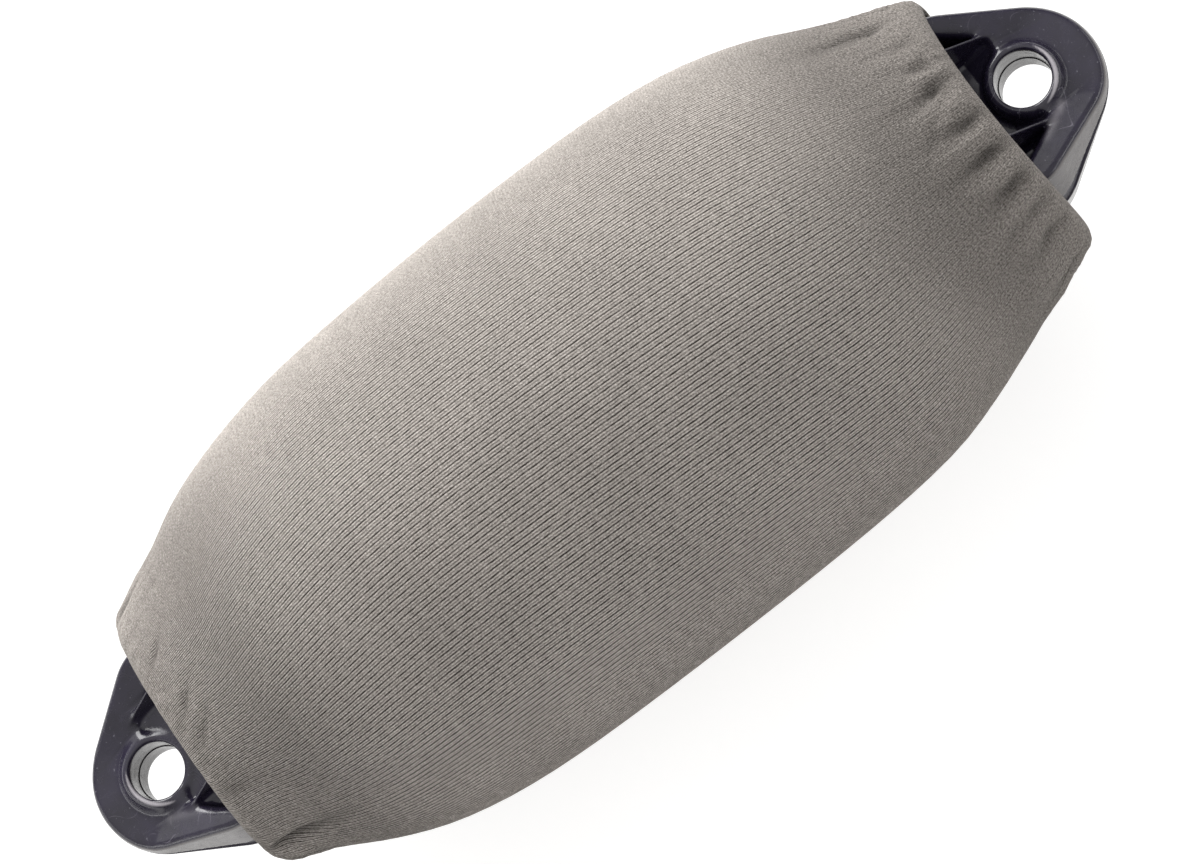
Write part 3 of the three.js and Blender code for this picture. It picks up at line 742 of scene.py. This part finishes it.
# Closed quad mesh where the distance passes zero: one point for each crossed cell, pulled on to
# the surface
def surfaceOf(distance, low, high, cell):
    axes = [np.arange(a, b + cell, cell) for a, b in zip(low, high)]
    field = distance(*np.meshgrid(*axes, indexing="ij"))
    inside = field < 0
    size = np.array(field.shape) - 1
    corners = [inside[i:i + size[0], j:j + size[1], k:k + size[2]]
               for i in (0, 1) for j in (0, 1) for k in (0, 1)]
    crossed = np.any(corners, axis=0) & ~np.all(corners, axis=0)
    number = np.full(size, -1)
    cells = np.argwhere(crossed)
    number[crossed] = np.arange(len(cells))
    points = np.array(low) + (cells + 0.5) * cell
    quads = []
    for axis in range(3):
        ahead = np.moveaxis(inside, axis, 0)
        grid = np.moveaxis(number, axis, 0)
        here, there = ahead[:-1, 1:-1, 1:-1], ahead[1:, 1:-1, 1:-1]
        for leaving in (True, False):
            i, j, k = np.nonzero((here & ~there) if leaving else (~here & there))
            ring = [grid[i, j, k], grid[i, j + 1, k], grid[i, j + 1, k + 1], grid[i, j, k + 1]]
            quads.append(np.stack(ring if leaving == (axis != 1) else ring[::-1], axis=-1))
    quads = np.concatenate(quads)

    def slopeAt(points, step):
        return np.stack([(distance(*(points + move).T) - distance(*(points - move).T)) / step / 2
                         for move in np.eye(3) * step], axis=-1)

    def pulled(points, times):
        reach, least = 0.6, 0.05  # longest move in mm, least slope squared
        for _ in range(times):
            slope = slopeAt(points, 0.05)
            steep = np.maximum((slope ** 2).sum(axis=-1), least)
            move = np.clip(distance(*points.T) / steep, -reach, reach)
            points = points - move[:, None] * slope
        return points

    points = pulled(points, 3)
    pairs = np.concatenate([quads[:, [a, (a + 1) % 4]] for a in range(4)])
    for _ in range(3):  # even the spacing, then back on to the surface
        total = np.zeros_like(points)
        count = np.zeros(len(points))
        np.add.at(total, pairs[:, 0], points[pairs[:, 1]])
        np.add.at(count, pairs[:, 0], 1)
        points = pulled(points * 0.5 + 0.5 * total / count[:, None], 2)
    return points, quads, slopeAt(points, 0.35)  # a longer step keeps the normals smooth


# Marks on an eye end, in its own place: a painted highlight, a scuff and a painted reflection
wear = {
    # painted highlight: a pale crescent on the collar, on the side away from the fender
    "crescentFrom": 18.4, "crescentTo": 21.6, "crescentTurn": -24, "crescentSpan": 62,
    "crescentEdge": 0.8, "crescentLeast": 0.4, "crescentAbove": 14,
    # a fainter scuff beside the collar
    "scuffHalf": 2.6, "scuffFade": 0.5, "scuffAbove": 8,
    # painted warm reflection inside the rope eye and on the side walls, above and below their
    # groove
    "reflectionSteep": 0.62, "reflectionTurn": 0.2, "reflectionMargin": 0.4, "reflectionGroove": 0.7, "reflectionEdge": 1.2,
    "boreMargin": 2.2, "boreHalf": 17,
}


# Painted highlight on the collar's crescent, with the pale scuff beside the collar
def paintedHighlightAndScuffShare(x, y, z, side):
    ofSide = eyeEndSides[side]
    ahead = x - eyeEnd["eyeAt"]
    fromEye = np.hypot(ahead, y)
    turn = np.degrees(np.arctan2(y * side, ahead)) - wear["crescentTurn"]
    turn = np.clip(turn / wear["crescentSpan"], -1, 1) * math.pi / 2
    broad = ((wear["crescentTo"] - wear["crescentFrom"])
             * np.sqrt(np.clip(np.cos(turn), 0, 1)))
    inner = wear["crescentTo"] - broad
    crescent = (np.clip((fromEye - inner) / wear["crescentEdge"], 0, 1)
                * np.clip((wear["crescentTo"] - fromEye) / wear["crescentEdge"], 0, 1)
                * (broad > wear["crescentLeast"]) * (z > wear["crescentAbove"]))
    fromX, fromY, toX, toY = ofSide["scuffLine"]
    runX, runY = toX - fromX, toY - fromY
    share = np.clip(((ahead - fromX) * runX + (y - fromY) * runY) / (runX ** 2 + runY ** 2), 0, 1)
    off = np.hypot(ahead - fromX - share * runX, y - fromY - share * runY)
    scuff = (ofSide["scuffShare"] * np.exp(-(off / wear["scuffHalf"]) ** 2)
             * (1 - wear["scuffFade"] * share) * (z > wear["scuffAbove"]))
    return np.maximum(crescent, scuff)


# Where the painted warm reflection lies: the steep side walls off their groove, and the rope
# eye's wall
def paintedReflectionShare(x, y, z, normal):
    ahead, side, height = x - eyeEnd["eyeAt"], np.abs(y), np.abs(z)
    plan = (np.maximum(outlineDistance(ahead, side), side - eyeEnd["halfWidth"])
            + eyeEnd["draft"] * height)
    steep = np.clip((wear["reflectionSteep"] - np.abs(normal[:, 2])) / wear["reflectionTurn"], 0, 1)
    pastGroove = np.clip((height - grooveHalf(ahead) * wear["reflectionGroove"]) / wear["reflectionEdge"],
                         0, 1)
    wall = (plan > -eyeEnd["grooveDepth"] - wear["reflectionMargin"]) * steep * pastGroove
    bore = ((np.hypot(ahead, y) < eyeEnd["eyeRadius"] + wear["boreMargin"])
            * (height < wear["boreHalf"]))
    return wall + bore


def makeEyeEnds():
    made = []
    for side, ofSide in eyeEndSides.items():
        points, quads, normals = surfaceOf(
            partial(eyeEndDistance, e={**eyeEnd, **ofSide}),
            eyeEnd["boxLow"], eyeEnd["boxHigh"], eyeEnd["cell"])
        normals /= np.maximum(np.linalg.norm(normals, axis=1, keepdims=True), 1e-6)
        placed = points * (side, side, 1) + (0, eyeEnd["eyeSide"], eyeEnd["eyeHeight"])
        piece = newObject(ofSide["name"], (placed * mm).tolist(), quads.tolist())
        piece.data.polygons.foreach_set("use_smooth", [True] * len(quads))
        # painted warm reflection on the walls
        storeValues(piece, "paintedReflectionMask", paintedReflectionShare(*points.T, normals))
        # painted highlight on the collar, and the scuff
        storeValues(piece, "paintedHighlightAndScuff", paintedHighlightAndScuffShare(*points.T, side))
        piece.data.normals_split_custom_set_from_vertices((normals * (side, side, 1)).tolist())
        piece.data.materials.append(vinylMaterial)
        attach(piece, "root")
        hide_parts(ofSide["node"])
        made.append(piece)
    return made


ropeEyeRight, ropeEyeLeft = makeEyeEnds()
print("eye ends moulded:", len(ropeEyeRight.data.polygons), "and",
      len(ropeEyeLeft.data.polygons), "faces")

# The mould's parting line: a thin trimmed flash round the inside of each rope eye
flash = {"colour": "#08070c", "torn": "#14121a", "tearPitch": 1.5, "tearHeight": 0.2,
         "relief": 0.4, "gloss": (0.3, 0.7, 0.5, 0.75), "thick": 0.5, "around": 96, "parts": 8}


# Cut vinyl: duller and darker than the moulded skin, and torn a little where it was trimmed
def makeFlashMaterial():
    material, tree, shader = newMaterial("trimmedVinylFlash")
    add = partial(addNode, tree)
    place = add("ShaderNodeTexCoord").outputs["Object"]
    torn = add("ShaderNodeTexNoise", {
        "Vector": place, "Scale": 1 / (flash["tearPitch"] * mm), "Detail": 3})
    colour = add("ShaderNodeMix", {
        0: torn, 6: linear(flash["colour"]), 7: linear(flash["torn"])}, data_type="RGBA")
    setInputs(tree, shader, {
        "Base Color": colour.outputs[2],
        "Roughness": add("ShaderNodeMapRange", (torn, *flash["gloss"])),
        "Normal": add("ShaderNodeBump", {
            "Strength": flash["relief"], "Distance": flash["tearHeight"] * mm,
            "Height": torn})})
    return material


def makeFlash(name, side, material):
    turn = 2 * math.pi * np.arange(flash["around"])[:, None] / flash["around"]
    roll = 2 * math.pi * np.arange(flash["parts"]) / flash["parts"]
    radius = eyeEnd["eyeRadius"] + flash["thick"] * np.cos(roll)
    ahead, across = eyeEndSides[side]["eyeShift"]
    points = np.stack([side * (eyeEnd["eyeAt"] + ahead) + radius * np.cos(turn),
                       eyeEnd["eyeSide"] + side * across + radius * np.sin(turn),
                       eyeEnd["eyeHeight"] + flash["thick"] * np.sin(roll) + 0 * turn],
                      axis=-1).reshape(-1, 3)
    a, b = np.meshgrid(np.arange(flash["around"]), np.arange(flash["parts"]), indexing="ij")
    nextA, nextB = (a + 1) % flash["around"], (b + 1) % flash["parts"]
    k = flash["parts"]
    faces = np.stack([a * k + b, nextA * k + b, nextA * k + nextB, a * k + nextB], axis=-1)
    piece = newObject(name, (points * mm).tolist(), faces.reshape(-1, 4).tolist())
    piece.data.polygons.foreach_set("use_smooth", [True] * len(piece.data.polygons))
    piece.data.materials.append(material)
    return piece


flashMaterial = makeFlashMaterial()
for name, side in (("partingFlashRight", 1), ("partingFlashLeft", -1)):
    piece = makeFlash(name, side, flashMaterial)
    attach(piece, "root")
print("parting flash trimmed")

# Plain pale floor and soft studio light: a large key light low on the +Y side, a sky that is
# brighter overhead, and small lights off each end for the gloss of the rope eyes. In metres
studio = {"floorSize": 24, "floorDrop": 0.0003, "floor": "#c2c2c1", "floorRoughness": 0.85,
          "glow": 0.68, "skyLow": 0.06, "skyHigh": 0.98, "skyTilt": -0.1, "aimHeight": 0.15}
lights = [
    # name, place, size, watts
    ("keyLight", (-0.36, 4.0, 2.0), (2.3, 3.2), 187),
    ("rightGloss", (3.0, -0.3, 0.95), (3.2, 0.5), 16),
    ("leftGloss", (-3.0, -0.1, 0.75), (3.2, 0.5), 16),
    ("rightFacetGloss", (1.55, 2.9, 1.4), (1.3, 1.1), 4),
    ("leftFacetGloss", (-2.05, 2.6, 1.1), (1.2, 1.1), 4),
]


def makeStudio():
    half, low = studio["floorSize"] / 2, -studio["floorDrop"]
    floor = newObject("floor", [(-half, -half, low), (half, -half, low), (half, half, low),
                                (-half, half, low)], [(0, 1, 2, 3)])
    material, tree, shader = newMaterial("paintedFloor")
    setInputs(tree, shader, {
        "Base Color": linear(studio["floor"]), "Roughness": studio["floorRoughness"],
        "Emission Color": (1, 1, 1, 1), "Emission Strength": studio["glow"]})
    floor.data.materials.append(material)
    for name, place, size, watts in lights:
        data = bpy.data.lights.new(name, "AREA")
        data.shape, data.size, data.size_y, data.energy = "RECTANGLE", size[0], size[1], watts
        light = bpy.data.objects.new(name, data)
        bpy.context.scene.collection.objects.link(light)
        light.location = place
        aim = Vector((0, 0, studio["aimHeight"])) - Vector(place)
        light.rotation_euler = aim.to_track_quat("-Z", "Y").to_euler()
    world = bpy.data.worlds.new("studioAir")
    world.use_nodes = True
    tree = world.node_tree
    add = partial(addNode, tree)
    sky = add("ShaderNodeTexCoord").outputs["Generated"]
    sideways, _, up = add("ShaderNodeSeparateXYZ", (sky,)).outputs
    level = add("ShaderNodeMapRange", (up, 0, 1, studio["skyLow"], studio["skyHigh"]))
    tilted = add("ShaderNodeMath", (sideways, studio["skyTilt"], level),
                 operation="MULTIPLY_ADD")
    setInputs(tree, tree.nodes["Background"], {"Color": (1, 1, 1, 1), "Strength": tilted})
    bpy.context.scene.world = world


makeStudio()
print("studio lit")
